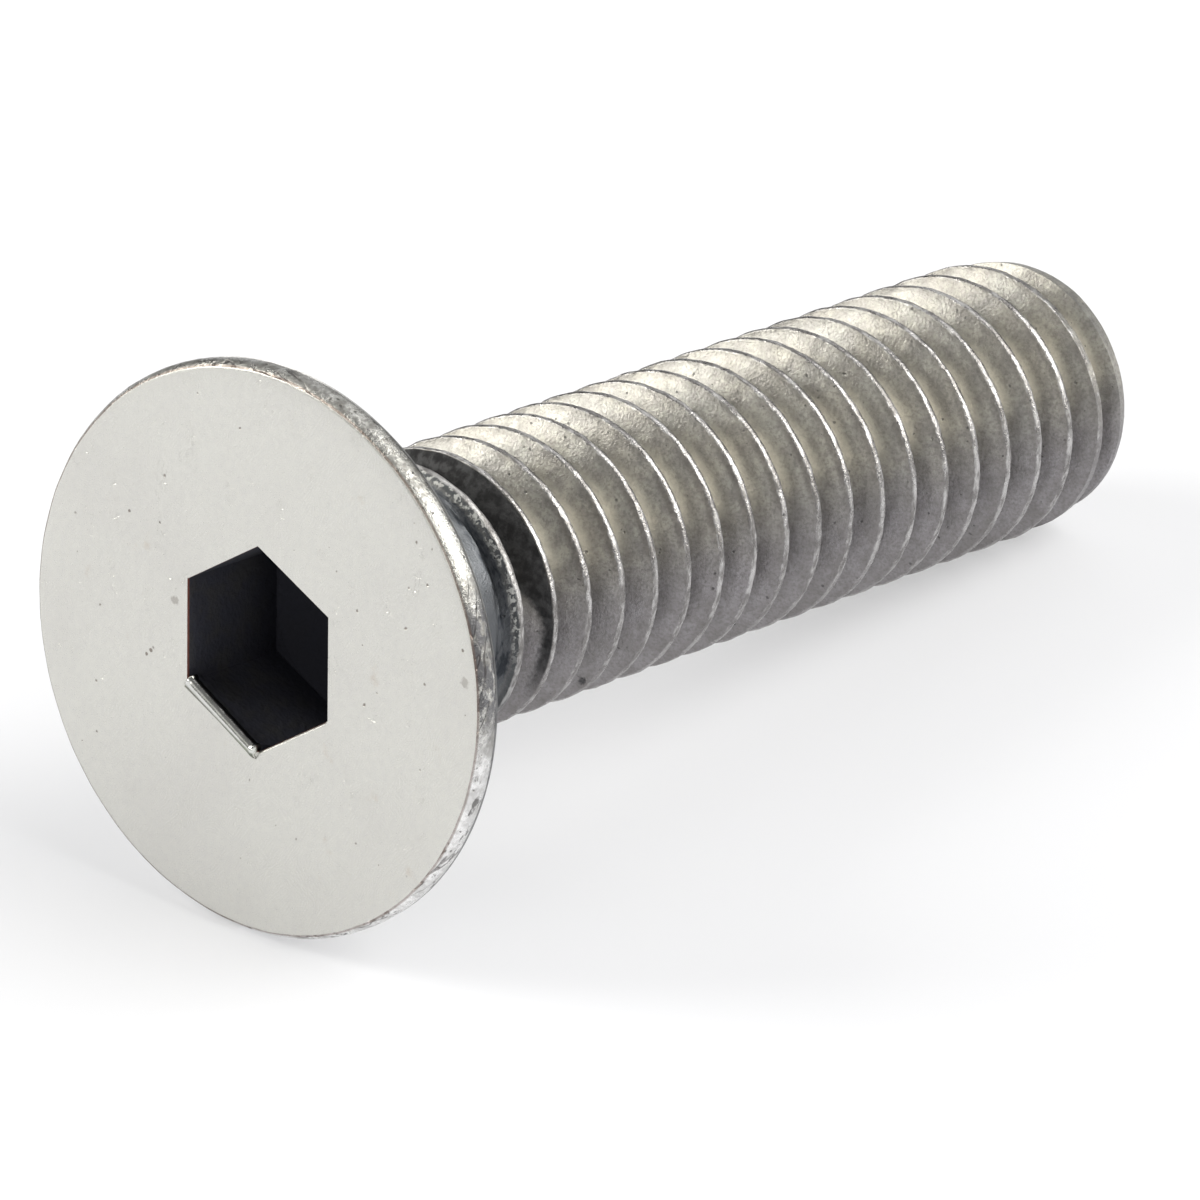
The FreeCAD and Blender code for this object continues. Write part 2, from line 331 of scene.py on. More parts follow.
@dataclass
class Thread:
    """The rolled thread with its run-out at the neck and its rounded end."""

    radius: float = 1.9835
    length: float = 16.548
    neck: Neck = Neck()

    # The ridge: a standard triangle, truncated and rounded at the crest and at the root.
    pitch: float = 0.7
    first_crest: float = 3.0
    half_flank_angle: float = 30.0
    crest_share: float = 1.0 / 8.0
    root_share: float = 1.0 / 6.0
    crest_rounding: float = 0.042
    crest_parts: int = 4
    root_rounding: float = 0.05
    root_parts: int = 2
    bulge: float = 0.02

    # The winding and the fineness of the mesh.
    turns_before: int = 2
    turns: int = 22
    steps: int = 108
    longest_run: float = 0.085
    end_rings: tuple[float, ...] = (0.97, 0.8, 0.6, 0.35)

    # The run-out and the end, as thread rolling leaves them.
    ridge_top: float = 2.8
    taper: float = 0.65
    relief: float = 0.155
    rounding: float = 5.3
    edge_break: float = 0.06

    # Wear of the crests, faint waves on the flanks, and single blows.
    worn_edge: float = 0.011
    worn_top: float = 0.014
    worn_band: float = 0.06
    fully_worn_band: float = 0.01
    fray_scale: float = 5.5
    fine_fray_scale: float = 13.0
    fine_fray_place: Vector = field(default_factory=lambda: Vector((7.0, 3.0, 1.0)))
    fine_fray_share: float = 0.6
    top_scale: float = 7.0
    top_place: Vector = field(default_factory=lambda: Vector((2.0, 9.0, 4.0)))
    top_least: float = 0.25
    flank_wave: float = 0.004
    flank_scale: float = 2.2
    dents: tuple[Dent, ...] = (
        Dent(12.80, 44.5, 1.97, 0.06, 0.045, 0.11),
        Dent(12.74, 49.0, 1.97, 0.07, 0.05, 0.06),
        Dent(5.255, 133.3, 1.92, 0.07, 0.09, 0.10),
    )

    def section(self, bm: BMesh) -> None:
        """Draw one pitch of the profile on the uppermost line, from mid crest to mid crest."""
        half_crest = self.crest_share * self.pitch / 2
        half_root = self.root_share * self.pitch / 2
        flank = self.pitch / 2 - half_crest - half_root
        root = self.radius - flank / math.tan(math.radians(self.half_flank_angle))
        start = self.first_crest - self.turns_before * self.pitch
        run = [
            (0.0, self.radius),
            (half_crest, self.radius),
            (half_crest + flank, root),
            (self.pitch - half_crest - flank, root),
            (self.pitch - half_crest, self.radius),
            (self.pitch, self.radius),
        ]
        corners = add_outline(bm, [spot(start + along, 0.0, out) for along, out in run])
        for corner in corners[1:5]:
            if abs(corner.co.z - root) < MERGE:
                round_corner(bm, corner, self.root_rounding, self.root_parts)
            else:
                round_corner(bm, corner, self.crest_rounding, self.crest_parts)
        split_edges(bm, bm.edges, self.longest_run)
        for vert in bm.verts:
            share = (vert.co.z - root) / (self.radius - root)
            vert.co.z += self.bulge * 4.0 * share * (1.0 - share)

    def ceiling(self, along: float) -> float:
        """Work out the plain shank from which the thread is cut.

        Args:
            along: a place along the axis.

        Returns:
            The shank's radius there: swelling, then full, then rounded, tapered and broken.
        """
        edge = self.length - self.edge_break
        turn = math.atan2(self.relief, self.taper)
        arc_start = edge - self.taper - self.rounding * math.tan(turn / 2)
        if along < self.ridge_top:
            return self.radius - (self.ridge_top - along)
        if along < arc_start:
            return self.radius
        if along < arc_start + self.rounding * math.sin(turn):
            drop = math.sqrt(self.rounding**2 - (along - arc_start) ** 2) - self.rounding
            return self.radius + drop
        end_radius = self.radius - self.relief
        if along < edge:
            return end_radius + (edge - along) * self.relief / self.taper
        return end_radius - (along - edge)

    def floor(self, along: float) -> float:
        """Give the radius of the neck and of the cone in which it fills the first groove."""
        return self.neck.radius - max(along - self.neck.end, 0.0)

    def wear(self, point: Vector) -> Vector:
        """Move a point of the thread as rolling and knocks have moved it.

        Args:
            point: the place on the clean thread.

        Returns:
            The place with the crest frayed, the flanks faintly uneven and the dents pressed in.
        """
        radius = radius_of(point)
        crest = smoothstep(radius, self.radius - self.worn_band, self.radius - self.fully_worn_band)
        fine = noise.noise(point * self.fine_fray_scale + self.fine_fray_place)
        fray = noise.noise(point * self.fray_scale) + self.fine_fray_share * fine
        top = noise.noise(point * self.top_scale + self.top_place) + self.top_least
        drop = self.worn_top * crest * max(0.0, top)
        drop += self.flank_wave * (noise.noise(point * self.flank_scale) + 1.0) * (1.0 - crest)
        drop += sum(dent.press(point) for dent in self.dents)
        shift = self.worn_edge * crest * fray * smoothstep(point.x, self.ridge_top, self.first_crest)
        return at_radius(point, radius - drop) + AXIS * shift

    def build(self, bm: BMesh) -> None:
        """Wind the section, keep it between the plain shank and the neck, and close the end."""
        self.section(bm)
        bmesh.ops.spin(
            bm, geom=bm.verts[:] + bm.edges[:], cent=(0, 0, 0), axis=AXIS,
            dvec=AXIS * (self.pitch / self.steps), angle=math.tau, steps=self.steps, use_merge=False,
        )
        bmesh.ops.spin(
            bm, geom=bm.verts[:] + bm.edges[:] + bm.faces[:], cent=(0, 0, 0), axis=AXIS,
            dvec=AXIS * self.pitch, angle=0.0, steps=self.turns - 1, use_duplicate=True,
        )
        bmesh.ops.remove_doubles(bm, verts=bm.verts, dist=MERGE)
        for vert in bm.verts:
            radius = max(min(radius_of(vert.co), self.ceiling(vert.co.x)), self.floor(vert.co.x))
            vert.co = self.wear(at_radius(vert.co, radius))
        for along, side in ((self.neck.seam, "clear_inner"), (self.length, "clear_outer")):
            bmesh.ops.bisect_plane(
                bm, geom=bm.verts[:] + bm.edges[:] + bm.faces[:], dist=1e-6,
                plane_co=AXIS * along, plane_no=AXIS, **{side: True},
            )
        end = rim_edges(bm, lambda point: point.x > self.length - self.edge_break / 2)
        close_ring(bm, end, self.end_rings, 0.0)


@dataclass
class Socket:
    """The punched hexagon with its rolled lip, its walls and the cone of its floor."""

    width: float = 2.5
    depth: float = 1.8
    turn: float = 5.3
    floor_rise: float = math.tan(HALF_SIDE)
    floor_share: float = 0.995
    floor_rings: tuple[float, ...] = (0.8, 0.5, 0.2)
    side_parts: int = 60
    mouth_stray: float = 0.01
    off_across: float = -0.035
    off_up: float = 0.047

    # The bead on one side: its place, its rolled section and its two knobs, whose places are
    # shares of half the side's length.
    lip_side: float = 204.7
    lip_reach: float = 0.091
    lip_depth: float = 0.10
    lip_out: float = 0.078
    lip_slant: float = 0.03
    lip_radius: float = 0.095
    lip_sunk: float = 0.015
    lip_sweep: float = 230.0
    lip_ripple: float = 0.05
    ripple_scale: float = 4.0
    share_from_face: float = 0.6
    knob: float = 1.15
    knob_start: float = 0.86
    knob_full: float = 0.92
    knob_cap: float = 0.10
    fade_start: float = 0.98
    fade_end: float = 1.08

    # The soft thin edge of the side next to it.
    soft_side: float = 144.7
    soft_reach: float = 0.04
    soft_depth: float = 0.03
    soft_until: float = 0.9

    # How far each ring of faces lies beyond the one before it, round the mouth and down the walls.
    mouth_rings: tuple[float, ...] = (
        0.010, 0.010, 0.010, 0.012, 0.014, 0.016, 0.018, 0.02, 0.02, 0.02, 0.03, 0.06, 0.15)
    wall_rings: tuple[float, ...] = (0.02, 0.02, 0.02, 0.02, 0.02, 0.2, 0.5, 1.0)

    def offset(self) -> Vector:
        """Give how far the punch stood off the axis."""
        return Vector((0.0, self.off_across, self.off_up))

    def lip_distance(self) -> float:
        """Give the distance from the screw's axis to the side that bears the bead."""
        return self.width / 2 + self.offset().dot(spot(0.0, self.lip_side, 1.0))

    def along_side(self, point: Vector, side: float) -> tuple[float, float]:
        """Measure a point against one side of the hexagon.

        Args:
            point: the place to measure.
            side: the turn of the side's middle.

        Returns:
            How far the point lies outside the side, and how far from its middle as a share of
            half the side's length.
        """
        outward = spot(0.0, side, 1.0)
        past = point.dot(outward) - self.width / 2
        half = self.width / 2 * math.tan(HALF_SIDE)
        return past, point.dot(AXIS.cross(outward)) / half

    def lip_section(self, share: float) -> float:
        """Work out the radius of the bead's rolled section.

        Args:
            share: the place along the side, from its middle, as a share of half its length.

        Returns:
            The radius there, larger at the knobs and nothing past their round caps.
        """
        place = abs(share)
        swell = (self.knob - 1.0) * smoothstep(place, self.knob_start, self.knob_full)
        ripple = self.lip_ripple * noise.noise(Vector((share * self.ripple_scale, 0.0, 3.0)))
        cap = max(place - self.knob_full, 0.0) / self.knob_cap
        return self.lip_radius * (1.0 + swell) * (1.0 + ripple) * math.sqrt(max(0.0, 1.0 - cap**2))

    def roll_lip(self, point: Vector) -> Vector:
        """Roll the surface beside one side into the bead that the punch has pushed up.

        Args:
            point: a place on the face or on the wall, before the roll.

        Returns:
            The place on the bead, or the same place away from that side.
        """
        past, share = self.along_side(point, self.lip_side)
        on_face = abs(point.x) < MERGE and -MERGE < past < self.lip_reach + MERGE
        on_wall = abs(past) < MERGE and point.x < self.lip_depth + MERGE
        if not (on_face or on_wall) or abs(share) > self.fade_end:
            return point
        if on_face:
            way = self.share_from_face * (1.0 - past / self.lip_reach)
        else:
            way = self.share_from_face + (1.0 - self.share_from_face) * point.x / self.lip_depth
        sweep = math.radians(self.lip_sweep * way)
        reach = self.lip_section(share)
        out = self.lip_out - self.lip_slant * share + reach * (math.cos(sweep) - 1.0)
        rolled = point + spot(0.0, self.lip_side, 1.0) * (out - past)
        rolled.x = self.lip_sunk - reach * math.sin(sweep)
        return point.lerp(rolled, 1.0 - smoothstep(abs(share), self.fade_start, self.fade_end))

    def on_lip(self, middle: Vector) -> bool:
        """Tell whether a face with this middle becomes part of the bead."""
        past, share = self.along_side(middle, self.lip_side)
        return abs(share) < 1.0 and -MERGE < past < self.lip_reach and middle.x < self.lip_depth

    def soften(self, point: Vector) -> Vector:
        """Sink the face beside another side into a soft thin edge.

        Args:
            point: a place on the face.

        Returns:
            The sunk place, or the same place away from that side.
        """
        past, share = self.along_side(point, self.soft_side)
        if abs(point.x) > MERGE or not -MERGE < past < self.soft_reach or abs(share) > 1.0:
            return point
        drop = self.soft_depth * (1.0 - past / self.soft_reach) ** 2
        return Vector((drop * (1.0 - smoothstep(abs(share), self.soft_until, 1.0)), point.y, point.z))

    def grow(self, bm: BMesh, ring: Edges, moves: Iterable[Move]) -> tuple[Edges, Faces]:
        """Grow a ring several times.

        Args:
            bm: the mesh that holds the ring.
            ring: the edges to start from.
            moves: gives the vertices of each new ring their places.

        Returns:
            The last ring's edges and all the new faces.
        """
        made: Faces = []
        for move in moves:
            ring, faces = grow_ring(bm, ring, move)
            made += faces
        return ring, made

    def outward(self, reach: float) -> Move:
        """Give the move that widens the hexagon by a reach across half its width."""
        share = 1.0 + reach / (self.width / 2)
        return lambda point: Vector((0.0, point.y * share, point.z * share))

    def deeper(self, reach: float) -> Move:
        """Give the move that sinks a ring by a reach."""
        return lambda point: point + AXIS * reach

    def to_floor(self, point: Vector) -> Vector:
        """Give a point's place on the round edge of the cone, just inside the walls."""
        scale = self.floor_share * self.width / 2 / max(radius_of(point), self.width / 2)
        return Vector((self.depth, point.y * scale, point.z * scale))

    def mouth(self, bm: BMesh) -> Edges:
        """Draw the hexagon on the face.

        Args:
            bm: the mesh to add to.

        Returns:
            Its edges, divided finely enough for the bead.
        """
        corner = self.width / 2 / math.cos(HALF_SIDE)
        made = bmesh.ops.create_circle(bm, segments=6, radius=corner, cap_ends=False)["verts"]
        for index, vert in enumerate(sorted(made, key=lambda v: math.atan2(v.co.y, v.co.x))):
            vert.co = spot(0.0, SIDE * index - self.turn, corner)
        sides = list({edge for vert in made for edge in vert.link_edges})
        bmesh.ops.subdivide_edges(bm, edges=sides, cuts=self.side_parts - 1)
        stray = self.mouth_stray
        return rim_edges(bm, lambda point: point.x < stray and radius_of(point) < corner + stray)

    def build(self, bm: BMesh) -> None:
        """Sink the hexagon and grow the face round its mouth."""
        mouth = self.mouth(bm)
        beside = self.grow(bm, mouth, map(self.outward, self.mouth_rings))[1]
        ring, walls = self.grow(bm, mouth, map(self.deeper, self.wall_rings))
        rolled = [face for face in walls + beside if self.on_lip(face.calc_center_median())]
        for vert in verts_of(walls + beside):
            vert.co = self.soften(self.roll_lip(vert.co))
        to_depth = (lambda point: Vector((self.depth, point.y, point.z)), self.to_floor)
        ring, bottom = self.grow(bm, ring, to_depth)
        walls += bottom + close_ring(bm, ring, self.floor_rings, self.floor_rise)
        for faces, zone in ((walls, Zone.SOCKET), (rolled, Zone.LIP)):
            for face in faces:
                face.material_index = zone.value
        bmesh.ops.translate(bm, vec=self.offset(), verts=verts_of(walls + beside))


@dataclass
class Head:
    """The flat head with its face, land and cone, down to the neck."""

    radius: float = 3.972
    face_inner: float = 2.6
    edge_break: float = 0.06
    land: float = 0.32
    cone_angle: float = 90.0
    neck: Neck = Neck()

    # Rounding of the four corners from the face to the neck, and the fineness of the mesh.
    face_rounding: float = 0.036
    edge_rounding: float = 0.09
    cone_rounding: float = 0.03
    neck_rounding: float = 0.105
    corner_parts: int = 4
    short_run: float = 0.5
    longest_short_run: float = 0.06
    longest_run: float = 0.35
    steps: int = 360

    # The land's crown and the unevenness of everything near the rim.
    land_crown: float = 0.02
    rim_band: float = 0.12
    behind_land: float = 0.02
    uneven: float = 0.006
    uneven_scale: float = 3.0
    fine_scale: float = 9.0
    fine_share: float = 0.5

    # What of the face counts as face and not as its broken edge.
    face_depth: float = 0.03
    face_margin: float = 0.09

    def build(self, bm: BMesh) -> None:
        """Turn the outline from the face to the neck."""
        half_angle = math.radians(self.cone_angle / 2)
        cone_end = self.land + (self.radius - self.neck.radius) / math.tan(half_angle)
        run = [
            (0.0, self.face_inner),
            (0.0, self.radius - self.edge_break),
            (self.edge_break, self.radius),
            (self.land, self.radius),
            (cone_end, self.neck.radius),
            (self.neck.seam, self.neck.radius),
        ]
        part = bmesh.new()
        corners = add_outline(part, [spot(along, 0.0, out) for along, out in run])
        reaches = (self.face_rounding, self.edge_rounding, self.cone_rounding, self.neck_rounding)
        for corner, reach in zip(corners[1:5], reaches):
            round_corner(part, corner, reach, self.corner_parts)
        short = [edge for edge in part.edges if edge.calc_length() < self.short_run]
        split_edges(part, short, self.longest_short_run)
        split_edges(part, part.edges, self.longest_run)
        bmesh.ops.spin(
            part, geom=part.verts[:] + part.edges[:], cent=(0, 0, 0), axis=AXIS, dvec=(0, 0, 0),
            angle=math.tau, steps=self.steps, use_merge=True,
        )
        bmesh.ops.remove_doubles(part, verts=part.verts, dist=MERGE)
        mesh = to_mesh(part, "head_part")
        bm.from_mesh(mesh)
        bpy.data.meshes.remove(mesh)

    def roughen(self, bm: BMesh) -> None:
        """Crown the land and make it and the face's edge faintly uneven, as handling leaves them."""
        middle = (self.edge_break + self.land) / 2
        for vert in bm.verts:
            radius = radius_of(vert.co)
            if radius > self.radius - self.rim_band and vert.co.x < self.land + self.behind_land:
                wave = noise.noise(vert.co * self.uneven_scale)
                wave += self.fine_share * noise.noise(vert.co * self.fine_scale)
                share = min(1.0, abs(vert.co.x - middle) / (self.land - middle))
                drop = self.uneven * (wave + 1.0) + self.land_crown * share**2
                vert.co = at_radius(vert.co, radius - drop)


# Node trees


class Graph:
    """A node tree that is filled by short calls."""

    def __init__(self, tree: NodeTree) -> None:
        """Take the tree to fill."""
        self.tree = tree

    def add(self, kind: str, inputs: dict[str | int, Any] | None = None, **settings: Any) -> Node:
        """Add a node.

        Args:
            kind: the node's type name.
            inputs: values or sockets for its inputs, by name or place.
            settings: attributes of the node.

        Returns:
            The new node.
        """
        node = self.tree.nodes.new(kind)
        for name, value in settings.items():
            setattr(node, name, value)
        for key, value in (inputs or {}).items():
            if isinstance(value, Signal):
                self.tree.links.new(value, node.inputs[key])
            else:
                node.inputs[key].default_value = value
        return node

    def link(self, value: Signal, socket: Signal) -> None:
        """Lead a value to an input."""
        self.tree.links.new(value, socket)

    def math(self, operation: str, first: Any, second: Any = 0.0) -> Signal:
        """Combine two values, or change one."""
        return self.add("ShaderNodeMath", {0: first, 1: second}, operation=operation).outputs[0]

    def times(self, *values: Any) -> Signal:
        """Multiply values."""
        return reduce(lambda first, second: self.math("MULTIPLY", first, second), values)

    def plus(self, *values: Any) -> Signal:
        """Add values."""
        return reduce(lambda first, second: self.math("ADD", first, second), values)

    def either(self, *masks: Any) -> Signal:
        """Join masks by taking the strongest."""
        return reduce(lambda first, second: self.math("MAXIMUM", first, second), masks)

    def less(self, first: Any, second: Any) -> Signal:
        """Subtract the second value from the first."""
        return self.math("SUBTRACT", first, second)

    def rest(self, mask: Any) -> Signal:
        """Mask what a mask leaves out."""
        return self.less(1.0, mask)

    def ramp(self, value: Any, low: Any, high: Any, to_low: Any = 0.0, to_high: Any = 1.0) -> Signal:
        """Map a value softly from one range to another.

        Args:
            value: the value to map.
            low: where its range starts, which may be its larger end.
            high: where its range ends.
            to_low: what becomes of low.
            to_high: what becomes of high.

        Returns:
            The result's socket.
        """
        inputs = {"Value": value, "From Min": low, "From Max": high, "To Min": to_low, "To Max": to_high}
        node = self.add("ShaderNodeMapRange", inputs, interpolation_type="SMOOTHSTEP", clamp=True)
        return node.outputs["Result"]

    def blend(self, factor: Any, first: Any, second: Any) -> Signal:
        """Mix two colours.

        Args:
            factor: the share of the second colour.
            first: a colour or its socket.
            second: a colour or its socket.

        Returns:
            The result's socket.
        """
        node = self.add("ShaderNodeMix", data_type="RGBA")
        for socket, value in ((node.inputs[0], factor), (node.inputs[6], first), (node.inputs[7], second)):
            if isinstance(value, Signal):
                self.link(value, socket)
            else:
                socket.default_value = (*value, 1.0) if isinstance(value, tuple) else value
        return node.outputs[2]

    def tint(self, color: Any, *tints: tuple[Signal, float, Any]) -> Signal:
        """Lay tints over a colour.

        Args:
            color: the colour to start from, or its socket.
            tints: for each tint its mask, its strength and its own colour or socket.

        Returns:
            The result's socket.
        """
        for mask, strength, other in tints:
            color = self.blend(self.times(mask, strength), color, other)
        return color

    def noise(self, vector: Any, scale: Any, detail: float = 3.0, roughness: float = 0.55) -> Signal:
        """Add fractal noise and give its value's socket."""
        inputs = {"Vector": vector, "Scale": scale, "Detail": detail, "Roughness": roughness}
        return self.add("ShaderNodeTexNoise", inputs).outputs["Fac"]

    def mapped(self, vector: Any, **inputs: Any) -> Signal:
        """Move, turn or scale a vector by the inputs of a Mapping node."""
        return self.add("ShaderNodeMapping", {"Vector": vector, **inputs}).outputs[0]


def new_group(name: str, inputs: dict[str, str], outputs: dict[str, str]) -> tuple[Graph, Any, Any]:
    """Start a shader node group.

    Args:
        name: the group's name.
        inputs: socket types by input name.
        outputs: socket types by output name.

    Returns:
        The graph to fill, the sockets of the group's inputs and those of its outputs.
    """
    tree = bpy.data.node_groups.new(name, "ShaderNodeTree")
    for way, sockets in (("INPUT", inputs), ("OUTPUT", outputs)):
        for socket, kind in sockets.items():
            tree.interface.new_socket(socket, in_out=way, socket_type=kind)
    return Graph(tree), tree.nodes.new("NodeGroupInput").outputs, tree.nodes.new("NodeGroupOutput").inputs


class Effects:
    """The node groups that several finishes share, each built once."""

    VECTOR = "NodeSocketVector"
    FLOAT = "NodeSocketFloat"

    def __init__(self) -> None:
        """Build every group."""
        self.polar = self.make_polar()
        self.mottle = self.make_mottle()
        self.pits = self.make_pits()
        self.scratches = self.make_scratches()
        self.mark = self.make_mark()

    def start(self, name: str, *values: str) -> tuple[Graph, Any, Any]:
        """Start a group that reads a vector and some values and puts out one mask."""
        inputs = {"Vector": self.VECTOR} | {value: self.FLOAT for value in values}
        return new_group(name, inputs, {"Mask": self.FLOAT})

    def make_polar(self) -> NodeTree:
        """Build the group that measures a place along, round and out from the axis."""
        outputs = {"Along": self.FLOAT, "Turn": self.FLOAT, "Radius": self.FLOAT}
        graph, given, wanted = new_group("axis_measures", {"Vector": self.VECTOR}, outputs)
        along, across, up = graph.add("ShaderNodeSeparateXYZ", {0: given["Vector"]}).outputs
        squares = graph.plus(graph.times(across, across), graph.times(up, up))
        graph.link(along, wanted["Along"])
        graph.link(graph.math("ARCTAN2", graph.times(across, -1.0), up), wanted["Turn"])
        graph.link(graph.math("SQRT", squares), wanted["Radius"])
        return graph.tree

    def make_mottle(self) -> NodeTree:
        """Build the group for soft cloudy patches between two thresholds."""
        graph, given, wanted = self.start("mottle", "Scale", "Low", "High")
        cloud = graph.noise(given["Vector"], given["Scale"], 4.0, 0.6)
        graph.link(graph.ramp(cloud, given["Low"], given["High"]), wanted["Mask"])
        return graph.tree

    def make_pits(self) -> NodeTree:
        """Build the group for scattered small round pits of uneven outline."""
        graph, given, wanted = self.start("pits", "Scale", "Size", "Share")
        bend = graph.add("ShaderNodeTexNoise", {"Vector": given["Vector"], "Scale": 14.0, "Detail": 2.0})
        shift = graph.add(
            "ShaderNodeVectorMath", {0: bend.outputs["Color"], 1: (0.05, 0.05, 0.05)}, operation="MULTIPLY")
        moved = graph.add("ShaderNodeVectorMath", {0: given["Vector"], 1: shift.outputs[0]}, operation="ADD")
        cells = graph.add("ShaderNodeTexVoronoi", {"Vector": moved.outputs[0], "Scale": given["Scale"]})
        chance = graph.add("ShaderNodeSeparateColor", {0: cells.outputs["Color"]}).outputs
        size = graph.times(given["Size"], graph.ramp(chance[1], 0.0, 1.0, 0.35, 1.0))
        inside = graph.ramp(cells.outputs["Distance"], size, graph.times(size, 0.5))
        chosen = graph.math("LESS_THAN", chance[0], given["Share"])
        graph.link(graph.times(inside, chosen), wanted["Mask"])
        return graph.tree

    def make_scratches(self) -> NodeTree:
        """Build the group for short fine scratches along the vector's X, broken into patches."""
        graph, given, wanted = self.start("scratches", "Scale", "Width", "Share")
        drawn = graph.mapped(given["Vector"], Scale=(0.12, 1.0, 1.0))
        lines = graph.noise(drawn, given["Scale"], 1.0, 0.5)
        thin = graph.ramp(graph.math("ABSOLUTE", graph.less(lines, 0.5)), given["Width"], 0.0)
        patches = graph.noise(given["Vector"], graph.times(given["Scale"], 0.35), 2.0)
        least = graph.rest(given["Share"])
        there = graph.ramp(patches, least, graph.plus(least, 0.08))
        graph.link(graph.times(thin, there), wanted["Mask"])
        return graph.tree

    def make_mark(self) -> NodeTree:
        """Build the group for one mark of uneven outline about a given point."""
        inputs = {"Vector": self.VECTOR, "Center": self.VECTOR, "Size": self.FLOAT, "Fray": self.FLOAT}
        graph, given, wanted = new_group("mark", inputs, {"Mask": self.FLOAT})
        ends = {0: given["Vector"], 1: given["Center"]}
        gap = graph.add("ShaderNodeVectorMath", ends, operation="DISTANCE")
        uneven = graph.less(graph.noise(given["Vector"], 16.0, 3.0, 0.6), 0.5)
        frayed = graph.plus(gap.outputs["Value"], graph.times(uneven, given["Fray"]))
        graph.link(graph.ramp(frayed, given["Size"], graph.times(given["Size"], 0.6)), wanted["Mask"])
        return graph.tree


@dataclass(frozen=True)
class Place:
    """The sockets that tell a finish where on the screw it is, in millimetres and radians."""

    graph: Graph
    vector: Signal
    along: Signal
    turn: Signal
    radius: Signal
    wrapped: Signal

    @classmethod
    def on(cls, graph: Graph, effects: Effects, seat: Seat) -> "Place":
        """Add the nodes that turn object coordinates into the screw's own frame.

        Args:
            graph: the material's graph.
            effects: the shared groups.
            seat: where the screw lies.

        Returns:
            The place with its sockets, of which wrapped is the surface unrolled flat.
        """
        back = seat.matrix().inverted()
        vector = graph.mapped(
            graph.add("ShaderNodeTexCoord").outputs["Object"],
            Location=back.to_translation(), Rotation=back.to_quaternion().to_euler(), Scale=back.to_scale(),
        )
        polar = graph.add("ShaderNodeGroup", node_tree=effects.polar)
        graph.link(vector, polar.inputs["Vector"])
        along, turn, radius = (polar.outputs[name] for name in ("Along", "Turn", "Radius"))
        flat = graph.add("ShaderNodeCombineXYZ", {0: graph.times(turn, WRAP_RADIUS), 1: along, 2: radius})
        return cls(graph, vector, along, turn, radius, flat.outputs[0])

    def turned(self, start: float, full: float) -> Signal:
        """Mask the turns past a start, in degrees, softly up to a full value."""
        return self.graph.ramp(self.turn, math.radians(start), math.radians(full))

    def upright(self, start: float, full: float, least: float = 0.0, most: float = 1.0) -> Signal:
        """Mask what lies within a turn of the uppermost line on either side, in degrees."""
        away = self.graph.math("ABSOLUTE", self.turn)
        return self.graph.ramp(away, math.radians(start), math.radians(full), least, most)

    def stretch(self, start: float, full: float, last: float, end: float) -> Signal:
        """Mask a stretch of the turn, in degrees, with a soft start and end."""
        return self.graph.times(self.turned(start, full), self.turned(end, last))


# Finishes


@dataclass(frozen=True)
class Mark:
    """One mark that belongs to a place on the screw: a pit, a nick or a stain."""

    along: float
    turn: float
    out: float
    size: float
    strength: float
    fray: float = 1.6


@dataclass(frozen=True)
class Finish:
    """What every worked surface of the screw shares."""

    name: str
    base: Color
    roughness: float
    effects: Effects
    seat: Seat
    marks: tuple[Mark, ...] = ()
    metallic: float = 1.0
    specular: float = 0.5

    def effect(self, place: Place, tree: NodeTree, vector: Any = None, **values: Any) -> Signal:
        """Place a shared group with its own values.

        Args:
            place: where the surface is.
            tree: the group.
            vector: what it reads, or None for the screw's own frame.
            values: the other inputs, by their names in small letters.

        Returns:
            The socket of its mask.
        """
        node = place.graph.add("ShaderNodeGroup", node_tree=tree)
        place.graph.link(place.vector if vector is None else vector, node.inputs["Vector"])
        for name, value in values.items():
            node.inputs[name.capitalize()].default_value = value
        return node.outputs["Mask"]

    def mottle(self, place: Place, scale: float, low: float, high: float, vector: Any = None) -> Signal:
        """Mask soft cloudy patches."""
        return self.effect(place, self.effects.mottle, vector, scale=scale, low=low, high=high)

    def marked(self, place: Place) -> Signal:
        """Join the masks of the finish's own marks.

        Args:
            place: where the surface is.

        Returns:
            The socket of the joined mask.
        """
        masks = []
        for mark in self.marks:
            center = spot(mark.along, mark.turn, mark.out)
            mask = self.effect(
                place, self.effects.mark, center=center, size=mark.size, fray=mark.size * mark.fray)
            masks.append(place.graph.times(mask, mark.strength))
        return place.graph.either(*masks)

    def material(self) -> Material:
        """Make the material.

        Returns:
            The material, with its surface painted by the finish.
        """
        made = bpy.data.materials.new(self.name)
        made.use_nodes = True
        made.node_tree.nodes.clear()
        graph = Graph(made.node_tree)
        shader = graph.add("ShaderNodeBsdfPrincipled", {
            "Metallic": self.metallic, "Roughness": self.roughness, "Base Color": (*self.base, 1.0),
            "Specular IOR Level": self.specular,
        })
        graph.link(shader.outputs[0], graph.add("ShaderNodeOutputMaterial").inputs["Surface"])
        self.paint(Place.on(graph, self.effects, self.seat), shader)
        return made

    def paint(self, place: Place, shader: Node) -> None:
        """Add the finish's own detail to the shader."""

    def lay(self, place: Place, shader: Node, color: Signal, height: Signal, depth: float) -> None:
        """Colour the shader, and let a height in shares of a depth in millimetres shape its normal."""
        place.graph.link(color, shader.inputs["Base Color"])
        bump = place.graph.add("ShaderNodeBump", {"Strength": 1.0, "Distance": depth * MM, "Height": height})
        place.graph.link(bump.outputs[0], shader.inputs["Normal"])


